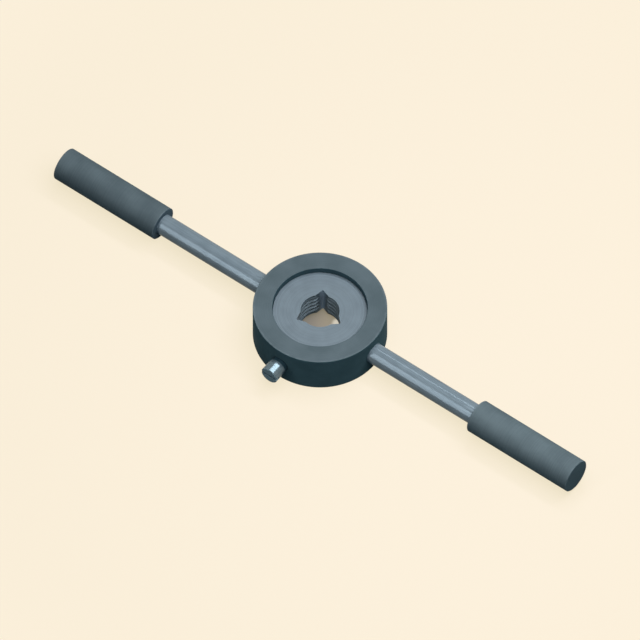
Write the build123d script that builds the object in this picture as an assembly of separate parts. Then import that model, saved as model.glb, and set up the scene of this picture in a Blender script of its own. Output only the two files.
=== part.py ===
from build123d import *
import os
from math import asin, cos, radians, sin, tan

# All sizes are in millimetres. The origin is on the die's axis, in the plane the holder rests on.
# +Z points up along that axis, +X along the right rod, and the lock screw stands on the -Y side.

# Round die, a one-inch blank that cuts a twelve-millimetre thread
die_diameter = 25.4
die_thickness = 8.4
die_edge_break = 0.12
thread_crest_diameter = 10.4
flute_count = 3
flute_width = 3.62
flute_depth = 1.75
flute_root_radius = 0.2
mouth_break = 0.05
lead_width = 0.25
lead_length = 0.75
dimple_depth = 1.2
dimple_angle = 90.0

# Holder ring with a stepped seat: the die drops in from the top on to a thin shoulder
holder_diameter = 36.0
seat_depth = 10.1
shoulder_thickness = 1.7
guide_diameter = 20.0
counterbore_depth = 1.7
holder_edge_break = 0.1
seat_edge_break = 0.1

# Handle rods, screwed into the holder and fixed in their grips
rod_diameter = 5.8
rod_exposed_length = 34.5
rod_end_setback = 0.3
rod_end_break = 0.5

# Grips, round sleeves that are closed at their outer ends
grip_diameter = 9.4
grip_length = 33.0
grip_socket_depth = 26.0
grip_edge_break = 0.12

# Lock screw with a slotted round head that runs in the counterbore, a threaded shank and a cone
screw_shank_diameter = 4.9
screw_head_diameter = 5.1
screw_head_reach = 4.8
screw_head_gap = 0.5
screw_head_break = 0.15
screw_tip_flat = 0.5
slot_width = 0.8
slot_depth = 1.2

# Clearances, all measured on the radius or along the travel
seat_clearance = 0.05
rod_clearance = 0.02
socket_clearance = 0.02
socket_end_gap = 0.5
screw_clearance = 0.05
tip_clearance = 0.07

# Places that follow from the sizes above
holder_radius = holder_diameter / 2
holder_height = shoulder_thickness + seat_depth
cross_height = holder_height / 2
seat_radius = die_diameter / 2 + seat_clearance
rod_start = seat_radius + rod_end_setback
grip_start = holder_radius + rod_exposed_length
grip_end = grip_start + grip_length
socket_end = grip_start + grip_socket_depth
dimple_apex = die_diameter / 2 - dimple_depth
counterbore_floor = holder_radius - counterbore_depth
head_start = counterbore_floor + screw_head_gap
head_end = holder_radius + screw_head_reach
opposite = Rot(0, 0, 180)


def along_x(radius, start, end):
    """A round bar on the rods' axis, from one distance out from the die's axis to another."""
    bar = Cylinder(radius, end - start, align=(Align.CENTER, Align.CENTER, Align.MIN))
    return Pos(start, 0, cross_height) * Rot(0, 90, 0) * bar


def along_screw(radius, start, end, end_radius=None):
    """A round bar or cone on the screw's axis, from one distance out to another."""
    outer = radius if end_radius is None else end_radius
    low = (Align.CENTER, Align.CENTER, Align.MIN)
    if outer == radius:
        bar = Cylinder(radius, end - start, align=low)
    else:
        bar = Cone(radius, outer, end - start, align=low)
    return Pos(0, -start, cross_height) * Rot(90, 0, 0) * bar


def turned(outline):
    """A body turned about the die's axis from an outline of radius and height points."""
    return revolve(Plane.XZ * make_face(Polyline(outline, close=True)), axis=Axis.Z)


def opening_outline():
    """The die's through opening: the crest circle and one V flute in front of each cutting land."""
    crest = thread_crest_diameter / 2
    half_mouth = asin(flute_width / 2 / crest)
    root = crest + flute_depth
    shoulder_x = crest * cos(half_mouth)
    shoulder_y = crest * sin(half_mouth)
    kite = make_face(
        Polyline(
            (0, 0),
            (shoulder_x, -shoulder_y),
            (root, 0),
            (shoulder_x, shoulder_y),
            close=True,
        )
    )
    outline = Sketch() + Circle(crest)
    for turn in range(flute_count):
        outline += Rot(0, 0, turn * 360 / flute_count) * kite
    roots = outline.vertices().group_by(lambda v: round(v.center().length, 3))[-1]
    return fillet(roots, flute_root_radius)


def make_die():
    """The die blank, its fluted opening with a short cutting lead below, and the screw's dimple."""
    radius = die_diameter / 2
    top = die_thickness
    edge = die_edge_break
    blank = turned(
        [
            (0, 0),
            (radius - edge, 0),
            (radius, edge),
            (radius, top - edge),
            (radius - edge, top),
            (0, top),
        ]
    )
    crest = thread_crest_diameter / 2
    mouth = crest + mouth_break
    blank -= extrude(opening_outline(), top)
    blank -= turned([(0, top - mouth_break), (crest, top - mouth_break), (mouth, top), (0, top)])
    blank -= turned([(0, 0), (crest + lead_width, 0), (crest, lead_length), (0, lead_length)])
    die = Pos(0, 0, shoulder_thickness) * blank
    reach = dimple_depth + die_edge_break
    dimple_radius = reach * tan(radians(dimple_angle / 2))
    return die - along_screw(0, dimple_apex, dimple_apex + reach, dimple_radius)


def make_holder():
    """The turned ring with its seat, shoulder and guide hole, drilled for the rods and the screw."""
    edge = holder_edge_break
    lip = seat_edge_break
    ring = turned(
        [
            (guide_diameter / 2, 0),
            (holder_radius - edge, 0),
            (holder_radius, edge),
            (holder_radius, holder_height - edge),
            (holder_radius - edge, holder_height),
            (seat_radius + lip, holder_height),
            (seat_radius, holder_height - lip),
            (seat_radius, shoulder_thickness),
            (guide_diameter / 2, shoulder_thickness),
        ]
    )
    rod_hole = along_x(rod_diameter / 2 + rod_clearance, 0, holder_diameter)
    ring -= rod_hole
    ring -= opposite * rod_hole
    ring -= along_screw(screw_shank_diameter / 2 + screw_clearance, 0, holder_diameter)
    head_hole = screw_head_diameter / 2 + screw_clearance
    return ring - along_screw(head_hole, counterbore_floor, holder_diameter)


def make_right_rod():
    """A round rod from just short of the seat to near the bottom of the grip's socket."""
    rod = along_x(rod_diameter / 2, rod_start, socket_end - socket_end_gap)
    ends = rod.edges().filter_by(GeomType.CIRCLE)
    return chamfer(ends, rod_end_break)


def make_right_grip():
    """A sleeve with broken edges, bored from its inner end and closed at its outer end."""
    sleeve = along_x(grip_diameter / 2, grip_start, grip_end)
    sleeve = chamfer(sleeve.edges().filter_by(GeomType.CIRCLE), grip_edge_break)
    return sleeve - along_x(rod_diameter / 2 + socket_clearance, grip_start, socket_end)


def make_lock_screw():
    """The screw, tight in the die's dimple: cone point, shank, head and the slot across the head."""
    slope = tan(radians(dimple_angle / 2))
    shank = screw_shank_diameter / 2
    tip = screw_tip_flat / 2
    cone_apex = dimple_apex + tip_clearance
    cone_start = cone_apex + tip / slope
    cone_end = cone_apex + shank / slope
    screw = along_screw(tip, cone_start, cone_end, shank)
    screw += along_screw(shank, cone_end, head_start)
    head = along_screw(screw_head_diameter / 2, head_start, head_end)
    outer_rim = head.edges().filter_by(GeomType.CIRCLE).sort_by(Axis.Y)[0]
    head = chamfer(outer_rim, screw_head_break)
    slot = Box(screw_head_diameter * 2, slot_depth * 2, slot_width)
    return screw + head - Pos(0, -head_end, cross_height) * slot


os.makedirs("parts", exist_ok=True)
right_rod = make_right_rod()
right_grip = make_right_grip()
pieces = {
    "die_holder": make_holder(),
    "die": make_die(),
    "right_rod": right_rod,
    "left_rod": opposite * right_rod,
    "right_grip": right_grip,
    "left_grip": opposite * right_grip,
    "lock_screw": make_lock_screw(),
}
for name, shape in pieces.items():
    export_step(shape, f"parts/{name}.step")
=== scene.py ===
from math import asin, atan, atan2, cos, hypot, pi, radians, sin, tan

import bmesh
import bpy
import numpy as np
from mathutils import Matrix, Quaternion, Vector


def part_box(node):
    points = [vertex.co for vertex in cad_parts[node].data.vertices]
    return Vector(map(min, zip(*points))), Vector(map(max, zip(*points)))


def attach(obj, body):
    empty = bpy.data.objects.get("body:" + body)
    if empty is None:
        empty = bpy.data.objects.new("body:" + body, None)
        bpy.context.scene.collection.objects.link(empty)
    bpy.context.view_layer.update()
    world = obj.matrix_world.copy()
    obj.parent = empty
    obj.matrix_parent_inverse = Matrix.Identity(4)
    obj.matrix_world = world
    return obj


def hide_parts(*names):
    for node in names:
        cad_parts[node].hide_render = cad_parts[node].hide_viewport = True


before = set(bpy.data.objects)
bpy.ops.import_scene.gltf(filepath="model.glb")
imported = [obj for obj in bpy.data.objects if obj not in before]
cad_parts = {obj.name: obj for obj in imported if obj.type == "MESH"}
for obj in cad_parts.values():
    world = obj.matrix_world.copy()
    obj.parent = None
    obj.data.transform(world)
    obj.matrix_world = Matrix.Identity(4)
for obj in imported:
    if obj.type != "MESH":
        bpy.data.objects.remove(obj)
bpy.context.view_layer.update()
mm = 0.001

# Camera. The picture is a parallel projection from the lock screw's side, high above the tool.
# It is as wide as the tool is long and centred on the holder at half its height.
view_azimuth = 36.8
view_elevation = 54.74
picture_width = 171.17 * mm
camera_distance = 400 * mm


def direction(azimuth, elevation):
    """The unit vector at this azimuth, in degrees round from -Y towards +X, and this height."""
    turn, rise = radians(azimuth), radians(elevation)
    return Vector((sin(turn) * cos(rise), -cos(turn) * cos(rise), sin(rise)))


def aim(thing, azimuth, elevation, distance, roll=0):
    """Puts a camera or a lamp at this distance from the holder's middle and turns it to that."""
    away = direction(azimuth, elevation)
    thing.location = middle + away * distance
    thing.rotation_mode = "QUATERNION"
    level = (-away).to_track_quat("-Z", "Y")
    thing.rotation_quaternion = level @ Quaternion((0, 0, 1), radians(roll))
    bpy.context.scene.collection.objects.link(thing)


holder_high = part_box("die_holder")[1]
middle = Vector((0.0, 0.0, holder_high.z / 2))
camera_data = bpy.data.cameras.new("camera")
camera_data.type = "ORTHO"
camera_data.ortho_scale = picture_width
camera_data.clip_start = 1 * mm
camera = bpy.data.objects.new("camera", camera_data)
aim(camera, view_azimuth, view_elevation, camera_distance)
bpy.context.scene.camera = camera
bpy.context.scene.view_settings.view_transform = "Standard"


# Floor. A plain cream surface that the holder rests on. It shows mostly its own even colour, so that
# the tool's soft shadow stays faint, and throws little light back. Under the holder its own colour is
# painted shade, with one small painted lit patch where light would come down through the die. From below
# it is clear.
class Shade:
    """A socket of a node tree, or a whole tree. Arithmetic on a socket adds Math nodes to its tree."""

    def __init__(self, tree, socket=None):
        self.tree = tree
        self.socket = socket

    def node(self, kind, settings=None, inputs=None, output=0):
        """Adds a node of this kind. Its settings come first, then its sockets' values and links."""
        made = self.tree.nodes.new(kind)
        for name, value in (settings or {}).items():
            setattr(made, name, value)
        for name, value in (inputs or {}).items():
            if isinstance(value, Shade):
                self.tree.links.new(value.socket, made.inputs[name])
            else:
                made.inputs[name].default_value = value
        return Shade(self.tree, made.outputs[output] if made.outputs else None)

    def output(self, name):
        """Another output of the node that this socket belongs to."""
        return Shade(self.tree, self.socket.node.outputs[name])

    def math(self, operation, *others):
        """This operation on the socket, and on the others where it takes more than one."""
        values = dict(enumerate([self, *others]))
        return self.node("ShaderNodeMath", {"operation": operation}, values)

    def __add__(self, other):
        return self.math("ADD", other)

    def __sub__(self, other):
        return self.math("SUBTRACT", other)

    def __rsub__(self, other):
        return self.node("ShaderNodeMath", {"operation": "SUBTRACT"}, {0: other, 1: self})

    def __mul__(self, other):
        return self.math("MULTIPLY", other)

    __radd__ = __add__
    __rmul__ = __mul__

    def mixed(self, first, second, blend="MIX"):
        """The first colour where this socket is 0, and at 1 the second, or the two blended. The
        node's sockets 6 and 7 are its colours, and its output 2 is their mix."""
        settings = {"data_type": "RGBA", "blend_type": blend}
        return self.node("ShaderNodeMix", settings, {0: self, 6: first, 7: second}, 2)

    def tinted(self, colour, tint):
        """The colour as it is where this socket is 0, and multiplied by the tint at 1."""
        return self.mixed(colour, tint, "MULTIPLY")


def linear(red, green, blue):
    """A colour as a screen shows it, from 0 to 255, in the renderer's own linear numbers."""
    shown = np.array([red, green, blue]) / 255
    light = np.where(shown <= 0.04045, shown / 12.92, ((shown + 0.055) / 1.055) ** 2.4)
    return (*light.tolist(), 1.0)


def new_tree(owner):
    """The owner's node tree, emptied, ready for its own nodes."""
    owner.use_nodes = True
    owner.node_tree.nodes.clear()
    return Shade(owner.node_tree)


def seen_directly(tree):
    """1 for what a camera, a polished surface or a clear one sees, and 0 for light that spreads."""
    ray = tree.node("ShaderNodeLightPath", output="Is Camera Ray")
    either = ray.math("MAXIMUM", ray.output("Is Glossy Ray"))
    return either.math("MAXIMUM", ray.output("Is Transmission Ray"))


def place_in_mm(tree):
    """A point's place on its own object, in millimetres."""
    place = tree.node("ShaderNodeTexCoord", output="Object")
    return tree.node("ShaderNodeVectorMath", {"operation": "SCALE"}, {0: place, "Scale": 1 / mm})


def measures(place):
    """A place's x, y and z."""
    x = place.node("ShaderNodeSeparateXYZ", inputs={0: place})
    return x, x.output("Y"), x.output("Z")


def from_axis(first, second):
    """How far a point is from the axis that these two measures start from."""
    return (first * first + second * second).math("SQRT")


def ramp(value, low, high):
    """0 at the low value, 1 at the high one, which may be the smaller, and smooth between them."""
    ends = {"Value": value, "From Min": low, "From Max": high}
    return value.node("ShaderNodeMapRange", {"interpolation_type": "SMOOTHSTEP"}, ends)


cream = linear(252, 240, 219)
cream_in_shade = linear(120, 115, 98)
cream_half_lit = linear(155, 145, 121)
cream_lit_patch = linear(222, 214, 194)
cool_when_lit = linear(246, 234, 252)
cool_when_spread = linear(55, 84, 96)
own_share = 0.85
floor_half = 1500 * mm
floor_gap = 0.02 * mm

# Distances on the floor over which its colours change, and the painted lit patch's middle, in
# millimetres.
even_from = (90, 160)
under_holder = (11, 17)
painted_patch_place = (2.2, 5.4)
painted_patch_edge = (2.3, 1.0)
painted_patch_glow = (9, 2.3)

floor_mesh = bpy.data.meshes.new("floor")
floor_corners = [(-1, -1), (1, -1), (1, 1), (-1, 1)]
floor_mesh.from_pydata(
    [(x * floor_half, y * floor_half, -floor_gap) for x, y in floor_corners], [], [(0, 1, 2, 3)]
)
floor = bpy.data.objects.new("floor", floor_mesh)
bpy.context.scene.collection.objects.link(floor)
floor_finish = bpy.data.materials.new("cream_floor")
tree = new_tree(floor_finish)
x, y, _ = measures(place_in_mm(tree))
out = from_axis(x, y)
# Under the holder the floor's own colour is painted shade, with one painted lit patch.
to_patch = from_axis(x - painted_patch_place[0], y - painted_patch_place[1])
painted_dim_cream = ramp(to_patch, *painted_patch_glow).mixed(cream_in_shade, cream_half_lit)
painted_dim_cream = ramp(to_patch, *painted_patch_edge).mixed(painted_dim_cream, cream_lit_patch)
lit_share = 1 - own_share
own_colour = [(seen - lit_share * part) / own_share for seen, part in zip(cream, cool_when_lit)]
own_colour = ramp(out, *under_holder).mixed(painted_dim_cream, own_colour)
lit = tree.node("ShaderNodeBsdfDiffuse", inputs={"Color": cool_when_lit})
own = tree.node("ShaderNodeEmission", inputs={"Color": own_colour})
even = tree.node("ShaderNodeEmission", inputs={"Color": cream})
spread = tree.node("ShaderNodeBsdfDiffuse", inputs={"Color": cool_when_spread})
clear = tree.node("ShaderNodeBsdfTransparent")
near = tree.node("ShaderNodeMixShader", inputs={0: own_share, 1: lit, 2: own})
shown = tree.node("ShaderNodeMixShader", inputs={0: ramp(out, *even_from), 1: near, 2: even})
above = tree.node("ShaderNodeMixShader", inputs={0: seen_directly(tree), 1: spread, 2: shown})
below = tree.node("ShaderNodeNewGeometry", output="Backfacing")
whole = tree.node("ShaderNodeMixShader", inputs={0: below, 1: above, 2: clear})
tree.node("ShaderNodeOutputMaterial", inputs={"Surface": whole})
floor_mesh.materials.append(floor_finish)

# Light. A wide panel hangs over the right grip, a long lamp behind draws the bright line along the
# screw, a tall one far in front draws the light band along the rods, and the room round them is
# dim. Seen directly, the room is cream like the floor.
room_glow = 0.05
room_colour = linear(120, 205, 228)

world = bpy.data.worlds.new("room")
tree = new_tree(world)
dim = tree.node("ShaderNodeBackground", inputs={"Color": room_colour, "Strength": room_glow})
pale = tree.node("ShaderNodeBackground", inputs={"Color": cream})
whole = tree.node("ShaderNodeMixShader", inputs={0: seen_directly(tree), 1: dim, 2: pale})
tree.node("ShaderNodeOutputWorld", inputs={"Surface": whole})
bpy.context.scene.world = world


def hang_lamp(name, azimuth, elevation, distance, wide, high, brightness, roll=0):
    """A rectangular lamp, turned about its own axis by this roll. Its brightness is what it gives
    a white sheet at the tool that faces it. The share of such a sheet's light that it can bring is
    slope / reach * atan(other slope / reach), added up over its two sides, over pi / 2. A side's
    slope is half its size over the distance, and its reach is the hypotenuse of 1 and that slope."""
    lamp_data = bpy.data.lights.new(name, "AREA")
    lamp_data.shape = "RECTANGLE"
    lamp_data.size, lamp_data.size_y = wide, high
    across, up = wide / 2 / distance, high / 2 / distance
    sides = [(across, up), (up, across)]
    share = sum(a / hypot(1, a) * atan(b / hypot(1, a)) for a, b in sides) / (pi / 2)
    lamp_data.energy = brightness * pi * wide * high / share
    aim(bpy.data.objects.new(name, lamp_data), azimuth, elevation, distance, roll)


hang_lamp("ceiling_panel", 90, 76, 330 * mm, wide=330 * mm, high=330 * mm, brightness=0.75)
hang_lamp("back_lamp", 166.7, 61.6, 700 * mm, wide=690 * mm, high=80 * mm, brightness=0.28, roll=15)
hang_lamp("front_lamp", -23.6, 28.8, 6000 * mm, wide=360 * mm, high=5600 * mm, brightness=0.094, roll=12)


# Holder ring. One piece of steel turned on a lathe, bored to a stepped seat for the die, drilled
# across for the rods and the screw, then blackened in a hot bath. It is matt and slate grey; its side
# carries a painted shade, darker and bluer, and the seat a deeper painted shade.
def new_finish(name, *objects):
    """An empty material of this name on these objects, as a tree to add nodes to."""
    made = bpy.data.materials.new(name)
    for thing in objects:
        thing.data.materials.clear()
        thing.data.materials.append(made)
    return new_tree(made)


def tool_marks(along, spacing):
    """Uneven fine marks along one measure, from 0 to 1, about this many millimetres apart."""
    shape = {"W": along, "Scale": 1 / spacing, "Detail": 3.0, "Roughness": 0.6}
    return along.node("ShaderNodeTexNoise", {"noise_dimensions": "1D"}, shape)


def cloud(place, spacing):
    """Soft cloudy variation, from 0 to 1, with patches about this many millimetres across."""
    return place.node("ShaderNodeTexNoise", None, {0: place, "Scale": 1 / spacing, "Detail": 3.0})


def two_shades(dark, light, marks, clouds, marks_share):
    """From the dark colour to the light one, by this share of the marks and the rest of the clouds."""
    varied = marks_share * marks + (1 - marks_share) * clouds
    return ramp(varied, *shade_ends).mixed(dark, light)


def edge_wear(to_edge, place):
    """How much of the worn colour shows at this distance from an edge. Its limit is ragged."""
    ragged = to_edge + wear_unevenness * cloud(place, wear_clouds)
    return worn_share * ramp(ragged, *wear_ends)


def inside(measure, limit):
    """1 while a measure is under this limit, in millimetres, and 0 just past it."""
    return ramp(measure, limit + half_fade, limit - half_fade)


def outside(measure, limit):
    """1 once a measure is past this limit, in millimetres, and 0 just under it."""
    return ramp(measure, limit - half_fade, limit + half_fade)


def steel(tree, colour, roughness, height, depth, metallic, shine):
    """Ends a tree in a steel surface. Its height, from 0 to 1, is worth this depth in metres."""
    normal = tree.node("ShaderNodeBump", inputs={"Height": height, "Distance": depth})
    surface = {
        "Base Color": colour,
        "Roughness": roughness,
        "Metallic": metallic,
        "Specular IOR Level": shine,
        "Normal": normal,
    }
    surface = tree.node("ShaderNodeBsdfPrincipled", inputs=surface)
    tree.node("ShaderNodeOutputMaterial", inputs={"Surface": surface})


shade_ends = (0.3, 0.7)
worn_share = 0.25

# How wide and how ragged the wear along an edge is, half of what a change of finish fades over, and
# half of a small broken edge, all in millimetres.
wear_clouds = 1.5
wear_unevenness = 1.2
wear_ends = (1.2, 0.6)
half_fade = 0.03
half_break = 0.05

black_light = linear(99, 113, 120)
black_dark = linear(86, 100, 106)
black_worn = linear(131, 144, 151)
painted_side_shade = (0.72, 0.98, 1.0, 1.0)
painted_seat_shade = (0.52, 0.72, 0.78, 1.0)
seat_radius = 12.75
holder_marks = 0.25
holder_clouds = 7.0
holder_radius = holder_high.x / mm
holder_top = holder_high.z / mm

tree = new_finish("blackened_steel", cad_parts["die_holder"])
place = place_in_mm(tree)
x, y, z = measures(place)
out = from_axis(x, y)
marks = tool_marks(out + z, holder_marks)
clouds = cloud(place, holder_clouds)
to_edge = from_axis(out - holder_radius, z - holder_top)
colour = two_shades(black_dark, black_light, marks, clouds, marks_share=0.35)
colour = edge_wear(to_edge, place).mixed(colour, black_worn)
# Painted shade: the outer side darker and bluer, and the seat darker still.
colour = outside(out, holder_radius - half_break).tinted(colour, painted_side_shade)
colour = inside(out, seat_radius + half_break).tinted(colour, painted_seat_shade)
roughness = 0.42 + 0.25 * clouds + 0.12 * marks
steel(tree, colour, roughness, height=marks, depth=0.004 * mm, metallic=0.0, shine=0.005)

# Die. A round of hardened and ground tool steel with three flutes, a right-hand cutting thread
# between them, a short cone that leads the work in from below, and a dimple for the screw's point.
# The thread is a shade darker as painted shade, and the flutes are lightened as painted light in their
# dim hollows.
die_low, die_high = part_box("die")
die_radius = die_high.x / mm
die_bottom = die_low.z / mm
die_top = die_high.z / mm
die_break = 0.12
flutes = 3
crest_radius = 5.2
thread_root = 6.0
thread_pitch = 1.5
thread_flat = thread_pitch / 16
thread_runout = 1.6
flute_half_width = 1.81
flute_root = 6.95
flute_root_radius = 0.2
lead_width = 0.25
lead_length = 0.75
mouth_break = 0.05
dimple_apex = 11.5
screw_height = holder_top / 2


def flute_reach(turn):
    """How far out the flutes go at each turn. Two straight sides lean in to each flute's root at
    the same angle, and a small arc joins them: side = root * sin(lean) / sin(lean + aside)."""
    sector = 2 * pi / flutes
    aside = np.abs((turn + sector / 2) % sector - sector / 2)
    mouth = np.sqrt(crest_radius**2 - flute_half_width**2)
    lean = atan2(flute_half_width, flute_root - mouth)
    side = flute_root * sin(lean) / np.sin(lean + aside)
    centre = flute_root - flute_root_radius / sin(lean)
    touch = atan2(flute_root_radius * cos(lean), centre + flute_root_radius * sin(lean))
    chord = np.maximum(flute_root_radius**2 - (centre * np.sin(aside)) ** 2, 0)
    return np.where(aside < touch, centre * np.cos(aside) + np.sqrt(chord), side)


def groove(turn, along, pitch, flat):
    """How deep a 60 degree thread groove is, before its flat floor cuts it off, at each turn and
    place along the axis. It falls by 1 / tan(30) for each step from the middle of the groove."""
    step = np.abs((along - pitch * turn / (2 * pi) + pitch / 2) % pitch - pitch / 2)
    return (flat - step) / tan(radians(30))


def bore_reach(turn, height):
    """The opening is the widest of its flutes, its thread groove, the cone that leads the work in
    from below and the broken edge at its top. The thread fades out towards both ends."""
    depth = thread_root - crest_radius + groove(turn, height, thread_pitch, thread_flat)
    fade = np.clip(np.minimum(die_top - height, height - die_bottom) / thread_runout, 0, 1)
    thread = crest_radius + np.clip(depth, 0, thread_root - crest_radius) * fade
    lead = crest_radius + lead_width * (1 - (height - die_bottom) / lead_length)
    mouth = crest_radius + mouth_break - (die_top - height)
    return np.maximum(np.maximum(flute_reach(turn), thread), np.maximum(lead, mouth))


def wall_reach(turn, height):
    """The outer wall, drawn in where the dimple's cone of 45 degrees a side cuts it. There it is
    (apex + distance from the screw's axis) / cos(turn from that axis)."""
    off = turn + pi / 2
    across = np.hypot(die_radius * np.sin(off), height - screw_height)
    cone = (dimple_apex + across) / np.cos(off)
    return np.where(np.cos(off) > 0, np.minimum(die_radius, cone), die_radius)


def grid_faces(rows, columns, rows_join, columns_join):
    """The four corners of each cell of a grid, whose rows and whose columns may join round."""
    row, column = np.mgrid[0 : rows - 1 + rows_join, 0 : columns - 1 + columns_join]
    next_row, next_column = (row + 1) % rows, (column + 1) % columns
    cells = [(row, column), (row, next_column), (next_row, next_column), (next_row, column)]
    return np.stack([r * columns + c for r, c in cells], axis=-1).reshape(-1, 4)


def new_piece(name, *grids):
    """A closed shell, facing outwards, of grids of points in millimetres that are welded along
    their rims. With each grid goes whether its rows and its columns join round."""
    points, faces, count = [], [], 0
    for grid, rows_join, columns_join in grids:
        points.append(grid.reshape(-1, 3))
        faces.append(count + grid_faces(*grid.shape[:2], rows_join, columns_join))
        count += len(points[-1])
    mesh = bpy.data.meshes.new(name)
    mesh.from_pydata((np.concatenate(points) * mm).tolist(), [], np.concatenate(faces).tolist())
    shell = bmesh.new()
    shell.from_mesh(mesh)
    bmesh.ops.remove_doubles(shell, verts=shell.verts, dist=weld_distance)
    bmesh.ops.recalc_face_normals(shell, faces=shell.faces)
    shell.to_mesh(mesh)
    shell.free()
    mesh.shade_smooth()
    mesh.set_sharp_from_angle(angle=radians(sharp_angle))
    piece = bpy.data.objects.new(name, mesh)
    bpy.context.scene.collection.objects.link(piece)
    return piece


weld_distance = 0.0002 * mm
sharp_angle = 28
die_columns = 480
bore_rows = 92
face_rows = 8
wall_rows = 36

# The section runs up the bore, out over the top face, down the wall and in under the die, to one
# step short of where it began.
turn = np.linspace(0, 2 * pi, die_columns, endpoint=False)
rim = die_radius - die_break
bore_height = np.linspace(die_bottom, die_top, bore_rows)[:, None]
bore = bore_reach(turn, bore_height)
wall_height = np.linspace(die_top - die_break, die_bottom + die_break, wall_rows)[:, None]
face = np.linspace(0, 1, face_rows)[1:, None]
stretches = [
    (bore, bore_height),
    (bore[-1] + (rim - bore[-1]) * face, die_top),
    (wall_reach(turn, wall_height), wall_height),
    (rim + (bore[0] - rim) * (face - face[0]), die_bottom),
]
reach = np.concatenate([far for far, _ in stretches])
rise = np.concatenate([0 * far + height for far, height in stretches])
ring = np.stack([reach * np.cos(turn), reach * np.sin(turn), rise], axis=-1)
die = new_piece("threading_die", (ring, True, True))

ground_light = linear(114, 129, 140)
ground_dark = linear(100, 114, 125)
thread_painted_shade = linear(98, 114, 125)
flute_painted_light = linear(164, 184, 202)
painted_bore_ends = (5.7, 6.85)
bore_rim = (7.45, 7.05)
die_marks = 0.3
die_clouds = 5.0

tree = new_finish("ground_tool_steel", die)
place = place_in_mm(tree)
x, y, z = measures(place)
out = from_axis(x, y)
marks = tool_marks(out + z, die_marks)
clouds = cloud(place, die_clouds)
colour = two_shades(ground_dark, ground_light, marks, clouds, marks_share=0.5)
# Painted light in the flutes and painted shade on the thread, by distance from the axis.
in_bore = ramp(out, *bore_rim) * inside(z, die_top - half_break)
painted_bore_colour = ramp(out, *painted_bore_ends).mixed(thread_painted_shade, flute_painted_light)
colour = in_bore.mixed(colour, painted_bore_colour)
roughness = 0.34 + 0.2 * clouds
steel(tree, colour, roughness, height=marks, depth=0.003 * mm, metallic=0.2, shine=0.15)
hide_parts("die")
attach(die, "stock")

# Lock screw. A blackened steel screw with a cone point that bears in the die's dimple, a fine
# thread through the ring, and a plain head that runs in the ring's counterbore. Next to the ring a
# short length of the head's side is black and matt as painted shade; beyond it the side is turned
# bright, and its slotted end is matt.
screw_low, screw_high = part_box("lock_screw")
screw_tip = -screw_high.y / mm
screw_tip_radius = 0.25
screw_crest = 2.45
screw_root = 1.96
screw_pitch = 0.8
screw_flat = screw_pitch / 16
head_radius = screw_high.x / mm
head_length = 6.0
head_end = -screw_low.y / mm
head_start = head_end - head_length
head_break = 0.15
slot_half = 0.4
slot_depth = 1.2
slot_floor = head_end - slot_depth
side_columns = 41
slot_columns = 7
shank_rows = 150


def on_screw(across, up, out):
    """Points at these places across and above the screw's axis, and this far out from the die's."""
    across, up, out = np.broadcast_arrays(across, up, out)
    return np.stack([across, -out, screw_height + up], axis=-1)


def side_turns(radius):
    """Turns over the head's upper side at this radius, from one corner of the slot to the other."""
    corner = asin(slot_half / radius)
    return np.linspace(corner, pi - corner, side_columns)


# One grid runs from the cone's point along the thread and the head's side to the slot's floor.
over = side_turns(head_radius)
beside = np.linspace(over[-1], pi + over[0], slot_columns)
turns = np.concatenate([over, beside[1:-1], over + pi, beside[1:-1] + pi])
shank_out = np.linspace(screw_tip, head_start, shank_rows)[:, None]
cut = screw_crest - screw_root + groove(turns, shank_out, screw_pitch, screw_flat)
shank = screw_crest - np.clip(cut, 0, screw_crest - screw_root)
shank = np.minimum(shank, screw_tip_radius + shank_out - screw_tip)
head = 0 * turns + head_radius
reach = np.concatenate([0 * shank[:1], shank, [head, head]])
out = np.concatenate([shank_out[:1], shank_out, [[head_start], [slot_floor]]])
grids = [(on_screw(reach * np.cos(turns), reach * np.sin(turns), out), False, True)]

# On each side of the slot one grid runs from its floor's height up the head's side, over the broken
# edge, in over the end and down the slot's wall.
end_radius = head_radius - head_break
end = side_turns(end_radius)
side_across, side_up = head_radius * np.cos(over), head_radius * np.sin(over)
end_across, end_up = end_radius * np.cos(end), end_radius * np.sin(end)
slot_up = slot_half + 0 * over
across = np.stack([side_across, side_across, end_across, end_across, side_across, side_across])
up = np.stack([side_up, side_up, end_up, slot_up, slot_up, slot_up])
edge = head_end - head_break
out = np.array([slot_floor, edge, head_end, head_end, edge, slot_floor])[:, None]
for side in (1, -1):
    grids.append((on_screw(across, side * up, out), False, False))

# The slot's floor is one grid, and a narrow one at each of its ends fills it out to the round side.
floor_up = head_radius * np.sin(beside)
grids.append((on_screw(side_across, floor_up[:, None], slot_floor), False, False))
bow = np.stack([head_radius * np.cos(beside), side_across[-1] + 0 * beside])
for side in (1, -1):
    grids.append((on_screw(side * bow, floor_up, slot_floor), False, False))
screw = new_piece("locking_screw", *grids)

bright_light = linear(112, 130, 141)
bright_dark = linear(98, 115, 125)
matt_steel = linear(129, 154, 165)
screw_painted_shade = linear(38, 60, 70)
painted_shade_end = 19.05
screw_marks = 0.2
screw_clouds = 2.0

tree = new_finish("turned_bright_steel", screw)
place = place_in_mm(tree)
x, y, z = measures(place)
up = z - screw_height
out = 0 - y
marks = tool_marks(from_axis(x, up) + y, screw_marks)
clouds = cloud(place, screw_clouds)
in_slot = outside(out, slot_floor - half_break) * inside(up.math("ABSOLUTE"), slot_half + half_break)
matt = in_slot.math("MAXIMUM", outside(out, edge + half_break))
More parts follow.
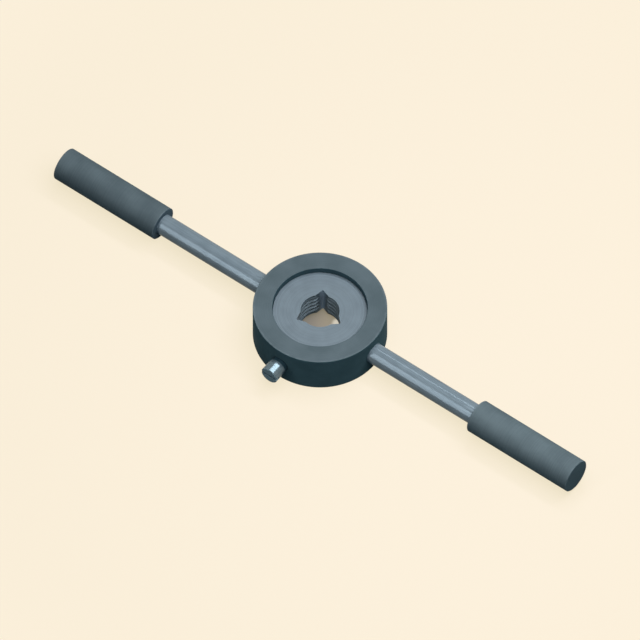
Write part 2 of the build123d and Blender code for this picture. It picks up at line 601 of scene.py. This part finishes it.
# Painted shade: the head's side is black next to the ring.
painted_shade_by_ring = inside(out, painted_shade_end)
colour = two_shades(bright_dark, bright_light, marks, clouds, marks_share=0.5)
colour = painted_shade_by_ring.mixed(matt.mixed(colour, matt_steel), screw_painted_shade)
roughness = 0.15 + 0.06 * clouds + 0.3 * matt + 0.3 * painted_shade_by_ring
bright = 0.45 * (1 - matt) * (1 - painted_shade_by_ring)
steel(tree, colour, roughness, height=marks, depth=0.002 * mm, metallic=bright, shine=0.05)
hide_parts("lock_screw")
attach(screw, "screw")

# Handle rods. Two lengths of cold drawn bar, screwed into the ring and pressed into the grips.
# The die that they were drawn through leaves fine lines along them, and the satin skin is bright.
drawn_light = linear(131, 147, 158)
drawn_dark = linear(115, 131, 142)
drawn_spacing = 0.35
drawn_stretch = (0.03, 1.0, 1.0)
rod_clouds = 4.0

tree = new_finish("drawn_steel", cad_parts["right_rod"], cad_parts["left_rod"])
place = place_in_mm(tree)
lengthwise = tree.node("ShaderNodeVectorMath", {"operation": "MULTIPLY"}, {0: place, 1: drawn_stretch})
lines = cloud(lengthwise, drawn_spacing)
clouds = cloud(place, rod_clouds)
colour = two_shades(drawn_dark, drawn_light, lines, clouds, marks_share=0.6)
roughness = 0.05 + 0.04 * clouds + 0.02 * lines
steel(tree, colour, roughness, height=lines, depth=0.001 * mm, metallic=0.1, shine=0.04)

# Grips. Two round steel sleeves, turned smooth, bored for the rods from their inner ends and
# blackened like the ring; the left one carries a painted shade. Hands have polished them a little,
# most of all along their edges. Their outer ends carry painted light and their inner ends painted shade.
grip_light = linear(107, 122, 128)
grip_dark = linear(93, 107, 113)
grip_worn = linear(130, 144, 151)
left_painted_shade = (0.88, 0.88, 0.89, 1.0)
inner_end_painted_shade = (0.74, 0.83, 0.92, 1.0)
outer_end_painted_light = (1.1, 1.2, 1.22, 1.0)
grip_marks = 0.3
grip_clouds = 6.0

grip_low, grip_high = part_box("right_grip")
grip_radius = grip_high.y / mm
inner_end, outer_end = grip_low.x / mm, grip_high.x / mm
tree = new_finish("blackened_grip_steel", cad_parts["right_grip"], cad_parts["left_grip"])
place = place_in_mm(tree)
x, y, z = measures(place)
out = from_axis(y, z - screw_height)
along = x.math("ABSOLUTE")
marks = tool_marks(out + along, grip_marks)
clouds = cloud(place, grip_clouds)
past_end = (along - (inner_end + outer_end) / 2).math("ABSOLUTE") - (outer_end - inner_end) / 2
to_edge = from_axis(past_end, out - grip_radius)
colour = two_shades(grip_dark, grip_light, marks, clouds, marks_share=0.3)
colour = edge_wear(to_edge, place).mixed(colour, grip_worn)
# Painted shade on the left grip and on the inner ends, and painted light on the outer ends.
colour = inside(x, 0).tinted(colour, left_painted_shade)
colour = inside(along, inner_end + half_break).tinted(colour, inner_end_painted_shade)
colour = outside(along, outer_end - half_break).tinted(colour, outer_end_painted_light)
roughness = 0.38 + 0.25 * clouds
steel(tree, colour, roughness, height=marks, depth=0.003 * mm, metallic=0.0, shine=0.005)
